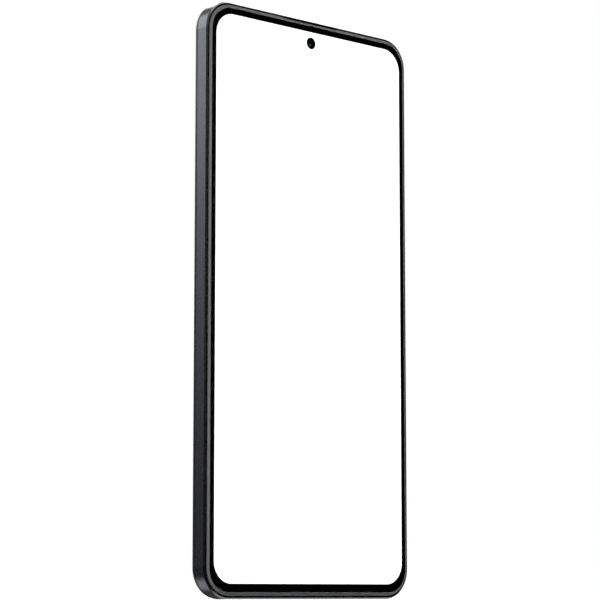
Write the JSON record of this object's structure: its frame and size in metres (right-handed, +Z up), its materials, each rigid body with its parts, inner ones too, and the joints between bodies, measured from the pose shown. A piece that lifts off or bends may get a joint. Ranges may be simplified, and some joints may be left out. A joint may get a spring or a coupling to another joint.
{
  "type": "smartphone",
  "caption": "Slim bar smartphone with a tall flat screen, punch-hole front camera, flat metal sides, raised rear camera plate, side keys and a slide-out card tray.",
  "frame": {"origin": "middle of the charging port's mouth, in the plane of the bottom edge", "axes": "+Z up along the long edge, +X to the right seen from the screen side, -Y out of the screen, +Y out of the back"},
  "size_m": [0.0759, 0.0101, 0.162],
  "materials": {
    "frame_metal": "satin anodised",
    "key_metal": "satin anodised",
    "deck_metal": "bare rolled sheet",
    "back_cover": "satin painted, faint depth",
    "camera_plate": "polished dark",
    "lens_metal": "turned, dark anodised",
    "lens_glass": "coated",
    "flash_glass": "moulded, frosted",
    "flash_led": "phosphor on white riser",
    "cover_glass": "polished, curved edge",
    "rim": "satin moulded",
    "screen": "lit blank white",
    "foil": "foil",
    "black_foam": "foam tape",
    "flex": "amber film",
    "sensor": "packaged chip",
    "board": "solder mask",
    "chip": "moulded package",
    "tin": "nickel silver",
    "steel": "stamped",
    "tungsten": "sintered heavy alloy",
    "graphite": "graphite film",
    "copper": "etched coil",
    "battery": "black wrapped pouch",
    "tab": "stretch tape",
    "cable": "thin coaxial",
    "black_plastic": "moulded",
    "mesh": "woven mesh",
    "tongue": "moulded, plated contacts",
    "seal": "moulded",
    "tray": "satin anodised",
    "camera": "moulded"
  },
  "bodies": {
    "phone": {"antenna_cable": "cable", "battery": "battery", "battery_flex": "flex", "battery_pull_tab": "tab", "board_chips": "chip", "board_cover": "black_plastic", "bottom_microphone": "tin", "camera_plate": "camera_plate", "cover_adhesive": "black_foam", "cover_glass": "cover_glass", "display_adhesive": "black_foam", "display_flex": "flex", "display_foil": "foil", "display_panel": "screen", "display_rim": "rim", "earpiece": "camera", "earpiece_mesh": "mesh", "eject_pivot": "steel", "fingerprint_sensor": "sensor", "flash_led": "flash_led", "flash_lens": "flash_glass", "front_camera": "camera", "haptic_case": "steel", "haptic_springs": "steel", "heat_spreader": "graphite", "key_bracket": "steel", "key_domes": "steel", "lens_windows": "lens_glass", "loudspeaker": "black_plastic", "macro_camera": "camera", "macro_lens_ring": "lens_metal", "main_board": "board", "main_camera": "camera", "main_flex": "flex", "main_lens_ring": "lens_metal", "mid_plate": "deck_metal", "nfc_coil": "copper", "rear_cover": "back_cover", "screws": "steel", "shield_front": "tin", "shield_rear": "tin", "side_frame": "frame_metal", "side_key_flex": "flex", "sim_reader": "steel", "speaker_mesh": "mesh", "sub_board": "board", "top_microphone": "tin", "usb_seal": "seal", "usb_shell": "steel", "usb_tongue": "tongue", "wide_camera": "camera", "wide_lens_ring": "lens_metal"},
    "power_key": {"power_button": "key_metal"},
    "volume_key": {"volume_rocker": "key_metal"},
    "card_tray": {"sim_tray": "tray", "tray_seal": "seal"},
    "ejector_rod": {"eject_rod": "steel"},
    "ejector_lever": {"eject_lever": "steel"},
    "haptic_weight": {"haptic_mass": "tungsten"},
    "focus_barrel": {"main_lens_barrel": "camera"}
  },
  "joints": [
    {"name": "power_press", "type": "slide", "parent": "phone", "child": "power_key", "axis": [-1, 0, 0], "range_m": [0, 0.00025], "stiffness_N_per_m": 4000, "springref_m": -0.0002},
    {"name": "volume_rock", "type": "hinge", "parent": "phone", "child": "volume_key", "pos_m": [0.03675, 0, 0.12], "axis": [0, 1, 0], "range_deg": [-1.1, 1.1], "stiffness_Nm_per_rad": 0.6},
    {"name": "tray_slide", "type": "slide", "parent": "phone", "child": "card_tray", "axis": [0, 0, -1], "range_m": [0, 0.0175]},
    {"name": "ejector_rod_slide", "type": "slide", "parent": "phone", "child": "ejector_rod", "axis": [0, 0, 1], "range_m": [0, 0.0012]},
    {"name": "ejector_lever_turn", "type": "hinge", "parent": "phone", "child": "ejector_lever", "pos_m": [-0.0208, 0, 0.01885], "axis": [0, -1, 0], "range_deg": [0, 15.3]},
    {"name": "haptic_weight_slide", "type": "slide", "parent": "phone", "child": "haptic_weight", "axis": [1, 0, 0], "range_m": [-0.0005, 0.0005], "stiffness_N_per_m": 1000},
    {"name": "focus_slide", "type": "slide", "parent": "phone", "child": "focus_barrel", "axis": [0, 1, 0], "range_m": [0, 0.0003], "stiffness_N_per_m": 400, "springref_m": -0.0002}
  ],
  "couplings": [
    {"joint": "ejector_lever_turn", "follows": "ejector_rod_slide", "rad_per_m": 222}
  ]
}
